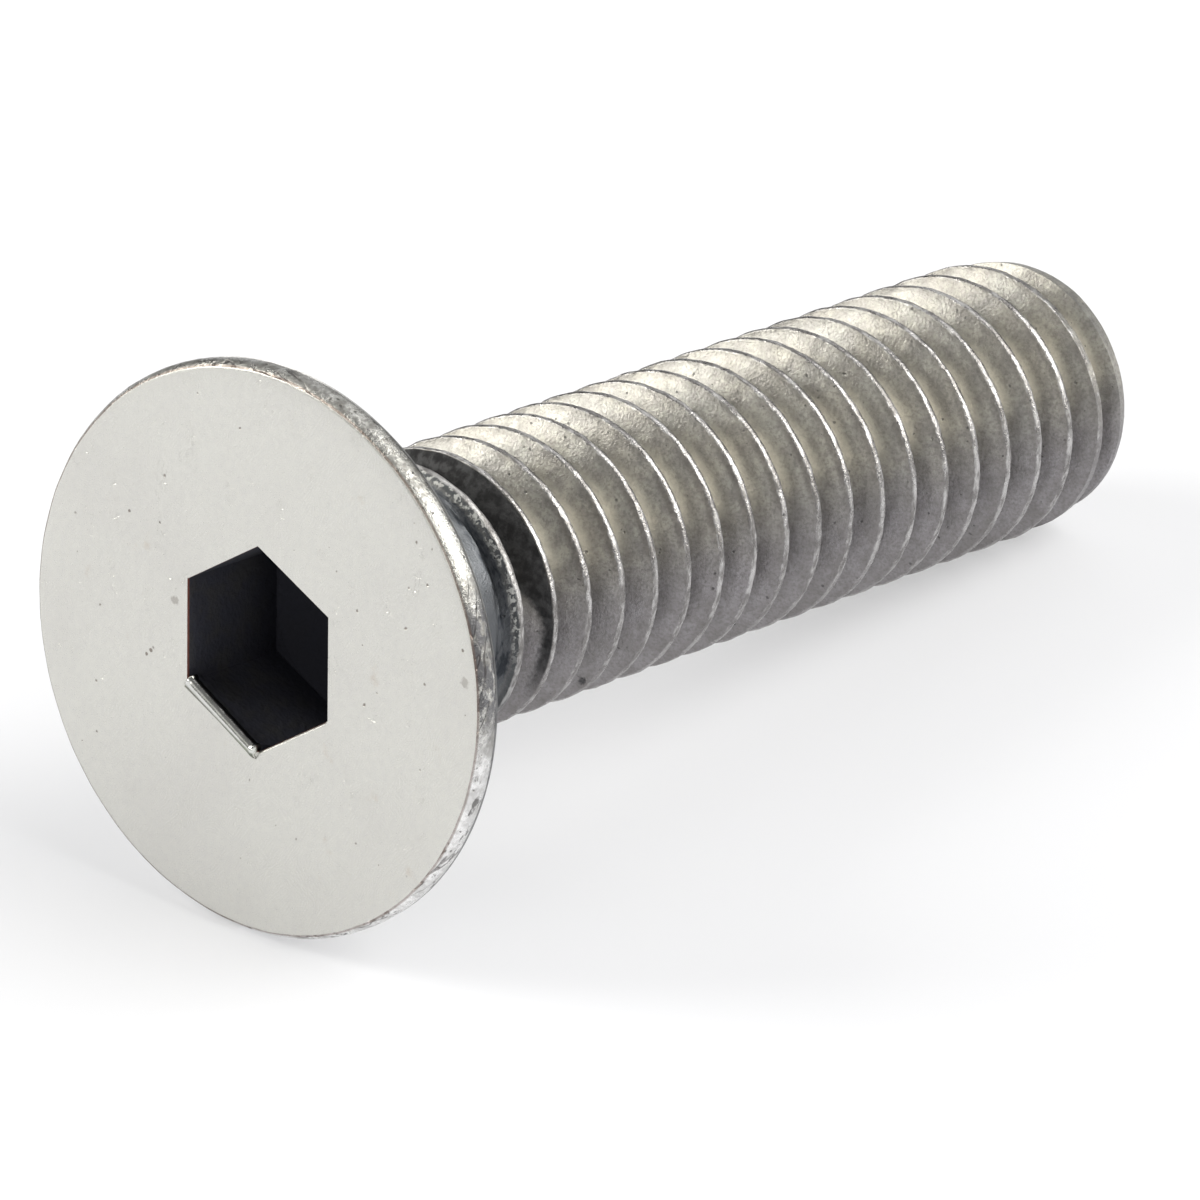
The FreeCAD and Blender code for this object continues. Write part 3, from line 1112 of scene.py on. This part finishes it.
@dataclass(frozen=True)
class SatinFace(Finish):
    """The pale satin head face with faint stains, specks, a fine grain and short scratches."""

    cloud_color: Color = (0.61, 0.60, 0.57)
    patch_color: Color = (0.50, 0.49, 0.50)
    stain_color: Color = (0.50, 0.42, 0.34)
    dark_color: Color = (0.17, 0.14, 0.12)

    def paint(self, place: Place, shader: Node) -> None:
        """Tint the face, spot it with specks and soften its gloss unevenly."""
        graph = place.graph
        color = graph.tint(
            self.base,
            (self.mottle(place, scale=0.5, low=0.35, high=0.7), 0.5, self.cloud_color),
            (self.mottle(place, scale=9.0, low=0.35, high=0.7), 0.15, self.patch_color),
            (self.mottle(place, scale=1.6, low=0.64, high=0.76), 0.35, self.stain_color),
        )
        specks = self.effect(place, self.effects.pits, scale=3.2, size=0.10, share=0.28)
        dust = self.mottle(place, scale=13.0, low=0.71, high=0.76)
        dark = graph.either(graph.times(specks, 0.75), graph.times(dust, 0.4))
        color = graph.blend(graph.either(dark, self.marked(place)), color, self.dark_color)
        grain = graph.noise(place.vector, 60.0, 3.0, 0.6)
        rough = graph.ramp(grain, 0.3, 0.7, self.roughness - 0.04, self.roughness + 0.05)
        graph.link(rough, shader.inputs["Roughness"])
        scratch = self.effect(place, self.effects.scratches, scale=7.0, width=0.010, share=0.42)
        height = graph.less(graph.less(graph.times(grain, 0.45), dark), graph.times(scratch, 0.7))
        self.lay(place, shader, color, height, 0.006)


@dataclass(frozen=True)
class KnockedLand(Finish):
    """The land at the head's rim: mottled, pitted and nicked, with a painted highlight on one stretch, a
    painted dark reflection on another and a lighter lower side of painted reflection.
    """

    cloud_color: Color = (0.22, 0.215, 0.205)
    fine_color: Color = (0.18, 0.17, 0.155)
    # Painted reflection: the lower side of the land is lighter.
    lower_reflection_color: Color = (0.86, 0.855, 0.85)
    # Painted reflection: a dark stretch round the land.
    dark_reflection_color: Color = (0.13, 0.13, 0.14)
    pit_color: Color = (0.08, 0.075, 0.07)
    nick_color: Color = (0.08, 0.07, 0.07)
    chip_color: Color = (0.14, 0.135, 0.13)
    line_color: Color = (0.20, 0.145, 0.12)
    nick_slant: float = 38.0
    line_depth: float = 0.034
    line_radius: float = 3.86

    def paint(self, place: Place, shader: Node) -> None:
        """Mottle the land, cut it with slanting nicks, line the face's edge and paint its highlight and
        reflections.
        """
        graph = place.graph
        slanted = graph.mapped(place.wrapped, Rotation=(0.0, 0.0, math.radians(self.nick_slant)))
        cloud = self.mottle(place, scale=3.2, low=0.42, high=0.62)
        fine = self.mottle(place, scale=13.0, low=0.44, high=0.62)
        flecks = self.mottle(place, scale=9.0, low=0.50, high=0.60, vector=slanted)
        chips = self.mottle(place, scale=7.0, low=0.60, high=0.67, vector=slanted)
        pits = self.effect(place, self.effects.pits, scale=11.0, size=0.3, share=0.4)
        nicks = self.effect(place, self.effects.scratches, slanted, scale=6.0, width=0.025, share=0.5)
        # Painted highlight: the mottle is kept off the stretch where the highlight falls.
        highlight_stretch = place.stretch(39.0, 46.0, 54.0, 61.0)
        # Painted reflection: the lower side is lighter, with fewer clouds.
        lower = place.turned(84.0, 98.0)
        dirt_outside_painted_light = graph.rest(graph.either(graph.times(highlight_stretch, 0.8), graph.times(lower, 0.6)))
        # Painted reflection: a darker stretch, broken by flecks.
        dark_reflection = graph.times(place.stretch(57.0, 68.0, 82.0, 94.0), graph.less(0.85, graph.times(flecks, 0.8)))
        line = graph.times(
            graph.ramp(place.along, self.line_depth, self.line_depth - 0.016),
            graph.ramp(place.radius, self.line_radius, self.line_radius + 0.02))
        color = graph.tint(
            graph.blend(lower, self.base, self.lower_reflection_color),
            (graph.times(cloud, dirt_outside_painted_light), 0.65, self.cloud_color),
            (graph.times(fine, dirt_outside_painted_light), 0.6, self.fine_color),
            (dark_reflection, 1.0, self.dark_reflection_color),
            (pits, 0.75, self.pit_color),
            (nicks, 0.7, self.nick_color),
            (graph.times(chips, lower), 0.85, self.chip_color),
            (line, 0.6, self.line_color),
        )
        rough = graph.ramp(cloud, 0.0, 1.0, self.roughness, self.roughness + 0.14)
        graph.link(rough, shader.inputs["Roughness"])
        grain = graph.noise(place.vector, 22.0, 4.0, 0.65)
        self.lay(place, shader, color, graph.less(grain, graph.plus(pits, nicks)), 0.014)


@dataclass(frozen=True)
class ShadedNeck(Finish):
    """The smooth neck and cone, painted slate-grey with shade at the neck under the head, and plain steel
    towards the rim.
    """

    cloud_color: Color = (0.18, 0.195, 0.21)
    outer_colors: ColorPair = ((0.36, 0.36, 0.365), (0.27, 0.27, 0.275))
    # The painted shade of the neck reaches out to this radius and is gone at the next.
    shade_until: float = 2.5
    plain_from: float = 3.4

    def paint(self, place: Place, shader: Node) -> None:
        """Cloud the cone faintly and let the painted shade clear towards the rim."""
        graph = place.graph
        cloud = self.mottle(place, scale=2.5, low=0.35, high=0.65)
        outer = graph.ramp(place.radius, self.shade_until, self.plain_from)
        color = graph.tint(
            self.base, (cloud, 0.5, self.cloud_color), (outer, 1.0, graph.blend(cloud, *self.outer_colors)))
        self.lay(place, shader, color, graph.noise(place.vector, 30.0, 3.0, 0.6), 0.004)


@dataclass(frozen=True)
class RolledThread(Finish):
    """The rolled thread: satin flanks with painted light on the upper side, painted reflection and shade in
    the grooves, bright frayed crests and a black band of painted shade in the first groove.

    A point's helix value is the place along the axis at which its own line, followed along the
    thread, crosses the uppermost line of the screw.
    """

    pitch: float = 0.7
    first_crest: float = 3.0
    crest_radius: float = 1.9835
    # Painted light on the upper flanks, and its warm sheen.
    upper_light_color: Color = (0.465, 0.458, 0.42)
    warm_sheen_color: Color = (0.53, 0.50, 0.43)
    cloud_color: Color = (0.20, 0.195, 0.187)
    streak_color: Color = (0.18, 0.172, 0.163)
    speck_color: Color = (0.22, 0.205, 0.205)
    dust_color: Color = (0.17, 0.16, 0.155)
    # Painted reflection and painted shade in the grooves, and painted shade beside the crests.
    groove_highlight_color: Color = (0.66, 0.635, 0.57)
    groove_shade_color: Color = (0.20, 0.195, 0.18)
    crest_shade_color: Color = (0.15, 0.13, 0.12)
    # Painted shade at the foot of the first ridge, lighter and darker.
    foot_shade_colors: ColorPair = ((0.14, 0.147, 0.157), (0.05, 0.055, 0.064))
    ridge_colors: ColorPair = ((0.13, 0.135, 0.14), (0.60, 0.60, 0.58))
    crest_colors: ColorPair = ((0.58, 0.57, 0.565), (0.23, 0.22, 0.215))
    # Painted shade in the first groove.
    first_groove_shade_colors: ColorPair = ((0.036, 0.036, 0.038), (0.11, 0.11, 0.113))

    def below_crest(self, place: Place, start: float, full: float) -> Signal:
        """Mask by depth below the crest, from a start up to a full value."""
        return place.graph.ramp(place.radius, self.crest_radius - start, self.crest_radius - full)

    def flanks(self, place: Place, specks: Signal, drawn: Signal) -> Signal:
        """Paint light on the upper flanks, lighter and warmer with patches of painted sheen, and darken them
        in clouds, streaks, specks and dust.

        Args:
            place: where the surface is.
            specks: the mask of the specks.
            drawn: the unrolled surface, drawn out round the screw.

        Returns:
            The flanks' colour.
        """
        graph = place.graph
        # Painted light: the upper flanks and the end face are lighter and warmer, with patches of painted
        # sheen.
        end_face = graph.rest(self.below_crest(place, 0.75, 0.5))
        upper = graph.either(place.upright(100.0, 60.0), end_face)
        warm_sheen_patches = graph.times(self.mottle(place, scale=1.3, low=0.35, high=0.65), upper)
        return graph.tint(
            self.base,
            (upper, 1.0, self.upper_light_color),
            (warm_sheen_patches, 0.5, self.warm_sheen_color),
            (self.mottle(place, scale=3.2, low=0.40, high=0.66), 0.42, self.cloud_color),
            (self.mottle(place, scale=2.2, low=0.40, high=0.66, vector=drawn), 0.30, self.streak_color),
            (specks, 0.35, self.speck_color),
            (self.mottle(place, scale=22.0, low=0.42, high=0.66), 0.45, self.dust_color),
        )

    def grooves(self, place: Place, color: Signal) -> Signal:
        """Paint a warm reflection at the bottom of the groove on one stretch, painted shade there on
        another, and painted shade beside the crests.

        Args:
            place: where the surface is.
            color: the flanks' colour.

        Returns:
            The new colour.
        """
        graph = place.graph
        bottom = graph.times(self.below_crest(place, 0.75, 0.5), self.below_crest(place, 0.20, 0.38))
        towards_head = graph.ramp(place.along, 12.5, 9.0, 0.1, 0.38)
        crest_shade = graph.plus(graph.times(place.stretch(34.0, 52.0, 68.0, 80.0), towards_head), 0.12)
        return graph.tint(
            color,
            # Painted reflection: a warm bright patch at the bottom of the groove.
            (graph.times(bottom, place.stretch(15.0, 42.0, 60.0, 76.0)), 0.62, self.groove_highlight_color),
            # Painted shade at the bottom of the groove near the uppermost line.
            (graph.times(bottom, place.stretch(-10.0, 0.0, 12.0, 26.0)), 0.5, self.groove_shade_color),
            # Painted shade beside the crests, stronger on one stretch and towards the head.
            (graph.times(self.below_crest(place, 0.12, 0.05), crest_shade), 1.0, self.crest_shade_color),
        )

    def run_out(
        self, place: Place, color: Signal, helix: Signal, uneven: Signal, drawn: Signal
    ) -> tuple[Signal, Signal]:
        """Paint shade on the foot of the first ridge, streaked with darker slits, and tear the ridge's top.

        Args:
            place: where the surface is.
            color: the colour so far.
            helix: the helix value.
            uneven: noise about nought.
            drawn: the unrolled surface, drawn out round the screw.

        Returns:
            The new colour and the mask of the torn ridge.
        """
        graph, crest = place.graph, self.first_crest
        before = graph.ramp(helix, crest + 0.10, crest + 0.04)
        frayed = graph.plus(helix, graph.times(uneven, 0.06))
        # Painted shade on the foot of the first ridge, streaked with darker slits.
        foot = graph.times(before, graph.ramp(frayed, crest - 0.08, crest - 0.13))
        cuts = self.mottle(place, scale=5.0, low=0.45, high=0.62, vector=drawn)
        slits = graph.times(graph.ramp(helix, crest - 0.34, crest - 0.27), cuts)
        ridge = graph.times(before, graph.rest(foot))
        flecks = self.mottle(place, scale=13.0, low=0.49, high=0.56)
        torn = graph.times(flecks, place.turned(106.0, 84.0))
        color = graph.blend(foot, color, graph.blend(slits, *self.foot_shade_colors))
        return graph.blend(ridge, color, graph.blend(torn, *self.ridge_colors)), ridge

    def first_groove_shade(self, place: Place, helix: Signal, uneven: Signal) -> Signal:
        """Mask the black band of painted shade in the first groove, beside the second ridge.

        Args:
            place: where the surface is.
            helix: the helix value.
            uneven: noise about nought.

        Returns:
            The mask, which narrows round the screw and fades on its lower side.
        """
        graph = place.graph
        crest = self.first_crest
        lower = graph.ramp(place.turn, math.radians(42.0), math.radians(92.0), crest + 0.12, crest + 0.55)
        upper = crest + self.pitch - 0.035
        after = graph.ramp(graph.less(helix, graph.plus(lower, graph.times(uneven, 0.08))), -0.03, 0.06)
        return graph.times(after, graph.ramp(helix, upper, upper - 0.03), place.turned(132.0, 98.0))

    def paint(self, place: Place, shader: Node) -> None:
        """Colour the flanks, grooves, run-out and crests, add pits and the painted shade of the first
        groove, and set gloss and relief.
        """
        graph = place.graph
        helix = graph.less(place.along, graph.times(place.turn, self.pitch / math.tau))
        uneven = graph.less(graph.noise(place.vector, 12.0, 3.0), 0.5)
        drawn = graph.mapped(place.wrapped, Scale=(0.35, 1.0, 1.5))
        specks = self.mottle(place, scale=7.0, low=0.36, high=0.64)
        color = self.grooves(place, self.flanks(place, specks, drawn))
        color, ridge = self.run_out(place, color, helix, uneven, drawn)
        crest = graph.ramp(
            graph.plus(place.radius, graph.times(uneven, 0.05)),
            self.crest_radius - 0.035, self.crest_radius - 0.015)
        sparks = self.mottle(place, scale=12.0, low=0.36, high=0.62, vector=drawn)
        pits = self.effect(place, self.effects.pits, scale=7.0, size=0.2, share=0.34)
        # Painted shade: a black band in the first groove, under the head.
        first_groove_shade = self.first_groove_shade(place, helix, uneven)
        dark = graph.either(graph.times(pits, 0.6), self.marked(place), graph.times(first_groove_shade, 0.97))
        color = graph.tint(
            color,
            # The crests' bright frayed tint is wear, twice as strong on the upper side as painted light.
            (crest, place.upright(130.0, 95.0, 0.45, 0.9), graph.blend(sparks, *self.crest_colors)),
            # Pits and marks, and the painted shade of the first groove.
            (dark, 1.0, graph.blend(graph.times(specks, 0.6), *self.first_groove_shade_colors)),
        )
        gloss = graph.ramp(graph.plus(specks, crest), 0.0, 2.0, self.roughness + 0.06, self.roughness - 0.1)
        rough = graph.plus(gloss, graph.times(ridge, 0.2), graph.times(first_groove_shade, 0.35))
        graph.link(rough, shader.inputs["Roughness"])
        grain = graph.noise(place.vector, 26.0, 4.0, 0.65)
        waves = graph.times(graph.noise(place.vector, 2.4, 1.0, 0.5), 2.6)
        rasp = graph.times(crest, graph.noise(place.vector, 22.0, 2.0, 0.6))
        self.lay(place, shader, color, graph.less(graph.plus(grain, waves, rasp), dark), 0.010)


@dataclass(frozen=True)
class PunchedSocket(Finish):
    """The walls and floor of the socket, in a dark non-metallic finish that is painted shade in the recess.
    """

    cloud_color: Color = (0.075, 0.075, 0.08)
    deep_shade_color: Color = (0.026, 0.027, 0.036)
    mouth_color: Color = (0.32, 0.12, 0.09)

    def paint(self, place: Place, shader: Node) -> None:
        """Cloud the walls, paint deeper shade towards the bottom and redden them where they meet the face.
        """
        graph = place.graph
        color = graph.tint(
            self.base,
            (self.mottle(place, scale=3.0, low=0.4, high=0.65), 1.0, self.cloud_color),
            # Painted shade: darker towards the bottom of the socket.
            (graph.ramp(place.along, 1.0, 1.8), 0.9, self.deep_shade_color),
            (graph.ramp(place.along, 0.055, 0.025), 0.85, self.mouth_color),
        )
        self.lay(place, shader, color, graph.noise(place.vector, 12.0, 4.0), 0.02)


@dataclass(frozen=True)
class RolledLip(Finish):
    """The bright bead that the punch has rolled up along one side of the socket."""

    side_turn: float = 0.0
    side_distance: float = 0.0
    streak_color: Color = (0.50, 0.53, 0.45)
    # Painted shade on the bead's outer side, darker and lighter spots.
    outer_colors: ColorPair = ((0.10, 0.115, 0.08), (0.25, 0.28, 0.20))
    crease_shade_color: Color = (0.13, 0.12, 0.10)

    def paint(self, place: Place, shader: Node) -> None:
        """Streak the bead and paint shade on its outer side and in its creases."""
        graph = place.graph
        streaks = self.mottle(place, scale=8.0, low=0.35, high=0.65)
        spots = self.mottle(place, scale=12.0, low=0.40, high=0.60)
        outward = spot(0.0, self.side_turn, 1.0)
        past = graph.add("ShaderNodeVectorMath", {0: place.vector, 1: outward}, operation="DOT_PRODUCT")
        outer = graph.ramp(past.outputs["Value"], self.side_distance - 0.01, self.side_distance + 0.035)
        color = graph.tint(
            self.base,
            (streaks, 0.30, self.streak_color),
            # Painted shade on the bead's outer side, in spots.
            (outer, 0.85, graph.blend(spots, *self.outer_colors)),
            # Painted shade in the creases, where the bead sinks below the face.
            (graph.ramp(place.along, -0.04, 0.005), 0.9, self.crease_shade_color),
        )
        self.lay(place, shader, color, graph.noise(place.vector, 20.0, 3.0), 0.0025)


# The screw


@dataclass
class Screw:
    """The whole screw as one piece."""

    seat: Seat
    node: str = "screw"
    piece_name: str = "worked_screw"
    thread: Thread = field(default_factory=Thread)
    head: Head = field(default_factory=Head)
    socket: Socket = field(default_factory=Socket)
    sharp: float = 28.0
    join_reach: float = 0.05
    face_marks: tuple[Mark, ...] = (
        Mark(0.0, -107.0, 1.90, 0.035, 0.8),
        Mark(0.0, -108.5, 1.99, 0.030, 0.8),
        Mark(0.0, -79.3, 1.49, 0.08, 0.42),
        Mark(0.0, 78.7, 3.697, 0.08, 0.40),
    )
    thread_marks: tuple[Mark, ...] = (
        Mark(5.255, 133.3, 1.90, 0.075, 0.9),
        Mark(12.80, 44.5, 1.97, 0.05, 0.6),
    )

    def join(self, bm: BMesh) -> None:
        """Bridge the thread to the neck and the face to the socket's surround."""
        for along in (self.head.neck.seam, 0.0):
            gap = rim_edges(bm, lambda point: abs(point.x - along) < self.join_reach)
            bmesh.ops.bridge_loops(bm, edges=gap)

    def zone(self, face: BMFace) -> Zone:
        """Name the surface that a face belongs to.

        Args:
            face: a face of the joined mesh, with the socket's faces already marked.

        Returns:
            The face's zone.
        """
        if face.material_index in (Zone.SOCKET.value, Zone.LIP.value):
            return Zone(face.material_index)
        middle, head = face.calc_center_median(), self.head
        if middle.x < head.face_depth and radius_of(middle) < head.radius - head.face_margin:
            return Zone.FACE
        if middle.x < head.land:
            return Zone.LAND
        return Zone.NECK if middle.x < head.neck.seam else Zone.THREAD

    def build(self) -> Object:
        """Model the screw and lay it in its seat.

        Returns:
            The object, at the origin, with its place in its mesh.
        """
        bm = bmesh.new()
        self.thread.build(bm)
        self.head.build(bm)
        self.head.roughen(bm)
        self.socket.build(bm)
        self.join(bm)
        bmesh.ops.remove_doubles(bm, verts=bm.verts, dist=MERGE / 10)
        bmesh.ops.dissolve_degenerate(bm, edges=bm.edges, dist=MERGE / 100)
        bmesh.ops.recalc_face_normals(bm, faces=bm.faces)
        for face in bm.faces:
            face.material_index = self.zone(face).value
            face.smooth = True
        for edge in bm.edges:
            edge.smooth = edge.calc_face_angle(0.0) < math.radians(self.sharp)
        open_edges = sum(1 for edge in bm.edges if not edge.is_manifold)
        LOG.info("%s: %d faces, %d open edges", self.piece_name, len(bm.faces), open_edges)
        bmesh.ops.transform(bm, matrix=self.seat.matrix(), verts=bm.verts)
        return add_object(self.piece_name, to_mesh(bm, self.piece_name))

    def dress(self, piece: Object) -> None:
        """Give the piece its finishes, in the order of the zones."""
        shared = (Effects(), self.seat)
        finishes = {
            Zone.FACE: SatinFace("satin_face", (0.66, 0.655, 0.615), 0.30, *shared, self.face_marks),
            Zone.LAND: KnockedLand("knocked_land", (0.60, 0.595, 0.565), 0.24, *shared),
            # The neck's dark slate base is painted shade under the head.
            Zone.NECK: ShadedNeck("shaded_neck", (0.155, 0.163, 0.173), 0.45, *shared),
            Zone.THREAD: RolledThread(
                "rolled_thread", (0.355, 0.342, 0.353), 0.36, *shared, self.thread_marks,
                pitch=self.thread.pitch, first_crest=self.thread.first_crest,
                crest_radius=self.thread.radius),
            # The socket's dark non-metallic base is painted shade in the recess.
            Zone.SOCKET: PunchedSocket(
                "punched_socket", (0.064, 0.066, 0.084), 0.8, *shared, metallic=0.0, specular=0.1),
            Zone.LIP: RolledLip(
                "rolled_lip", (0.68, 0.68, 0.66), 0.22, *shared,
                side_turn=self.socket.lip_side, side_distance=self.socket.lip_distance()),
        }
        for zone in Zone:
            piece.data.materials.append(finishes[zone].material())
            LOG.info("%s: finish %s", zone.name.lower(), finishes[zone].name)


# The studio


@dataclass(frozen=True)
class Panel:
    """A soft light: the way to it from the screw, its distance, size, power in watts and colour."""

    name: str
    way: Direction
    reach: float
    size: tuple[float, float]
    power: float
    color: Color = (1.0, 1.0, 1.0)


WARM: Color = (1.0, 0.985, 0.93)


@dataclass
class Studio:
    """The pale floor, the soft lights and the camera, in metres."""

    floor_size: float = 1.6
    floor_color: Color = (0.42, 0.424, 0.446)
    floor_roughness: float = 0.8
    floor_specular: float = 0.2
    floor_glow: float = 0.42
    surroundings: float = 0.16
    camera_place: Direction = (-0.115380, -0.097771, 0.078542)
    camera_aim: Direction = (-0.000845, 0.000145, 0.001921)
    lens: float = 368.34
    sensor: float = 36.0
    nearest: float = 0.01
    farthest: float = 10.0
    panels: tuple[Panel, ...] = (
        Panel("overhead", (0.2, -0.45, 0.87), 0.6, (0.4, 0.4), 0.45),
        Panel("left_window", (-0.51, 0.67, 0.54), 0.2, (0.095, 0.13), 0.335, WARM),
        Panel("left_wall", (-0.90, -0.12, 0.42), 0.5, (0.45, 0.3), 0.20, WARM),
        Panel("left_lamp", (-0.93, -0.18, 0.31), 0.5, (0.2, 0.18), 0.24, WARM),
        Panel("right_strip", (0.79, -0.5, 0.36), 0.35, (0.08, 0.12), 0.12),
        Panel("right_panel", (0.36, -0.66, 0.66), 0.4, (0.34, 0.34), 1.9, WARM),
        Panel("back_panel", (0.60, 0.30, 0.74), 0.6, (0.5, 0.7), 0.95),
    )

    def floor(self) -> Object:
        """Lay the floor under the screw.

        Returns:
            The floor.
        """
        bm = bmesh.new()
        bmesh.ops.create_grid(bm, x_segments=1, y_segments=1, size=self.floor_size / 2)
        made = add_object("pale_floor", to_mesh(bm, "pale_floor"))
        paint = bpy.data.materials.new("pale_floor")
        paint.use_nodes = True
        inputs = paint.node_tree.nodes["Principled BSDF"].inputs
        inputs["Base Color"].default_value = (*self.floor_color, 1.0)
        inputs["Roughness"].default_value = self.floor_roughness
        inputs["Specular IOR Level"].default_value = self.floor_specular
        inputs["Emission Color"].default_value = (1.0, 1.0, 1.0, 1.0)
        inputs["Emission Strength"].default_value = self.floor_glow
        made.data.materials.append(paint)
        return made

    def light(self, panel: Panel) -> None:
        """Hang a soft light that faces the screw."""
        data = bpy.data.lights.new(panel.name, "AREA")
        data.shape = "RECTANGLE"
        data.size, data.size_y = panel.size
        data.energy, data.color = panel.power, panel.color
        made = add_object(panel.name, data)
        toward = Vector(panel.way).normalized()
        made.location = toward * panel.reach
        made.rotation_euler = toward.to_track_quat("Z", "Y").to_euler()

    def camera(self) -> None:
        """Set the camera at the photograph's viewing angle."""
        data = bpy.data.cameras.new("camera")
        data.lens, data.sensor_width = self.lens, self.sensor
        data.clip_start, data.clip_end = self.nearest, self.farthest
        made = add_object("camera", data)
        made.location = Vector(self.camera_place)
        gaze = Vector(self.camera_aim) - made.location
        made.rotation_euler = gaze.to_track_quat("-Z", "Y").to_euler()
        bpy.context.scene.camera = made

    def build(self) -> None:
        """Set up the floor, the lights, the surroundings and the camera."""
        self.floor()
        for panel in self.panels:
            self.light(panel)
            LOG.info("light %s", panel.name)
        world = bpy.data.worlds.new("surroundings")
        world.use_nodes = True
        back = world.node_tree.nodes["Background"]
        back.inputs["Color"].default_value = (1.0, 1.0, 1.0, 1.0)
        back.inputs["Strength"].default_value = self.surroundings
        bpy.context.scene.world = world
        bpy.context.scene.view_settings.view_transform = "Standard"
        self.camera()


def main() -> None:
    """Build the screw and its studio."""
    logging.basicConfig(level=logging.INFO, format="%(message)s")
    screw = Screw(Seat.from_mount(frame["record"], "head_face"))
    piece = screw.build()
    screw.dress(piece)
    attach(piece, "root")
    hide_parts(screw.node)
    Studio().build()


if __name__ == "__main__":
    main()
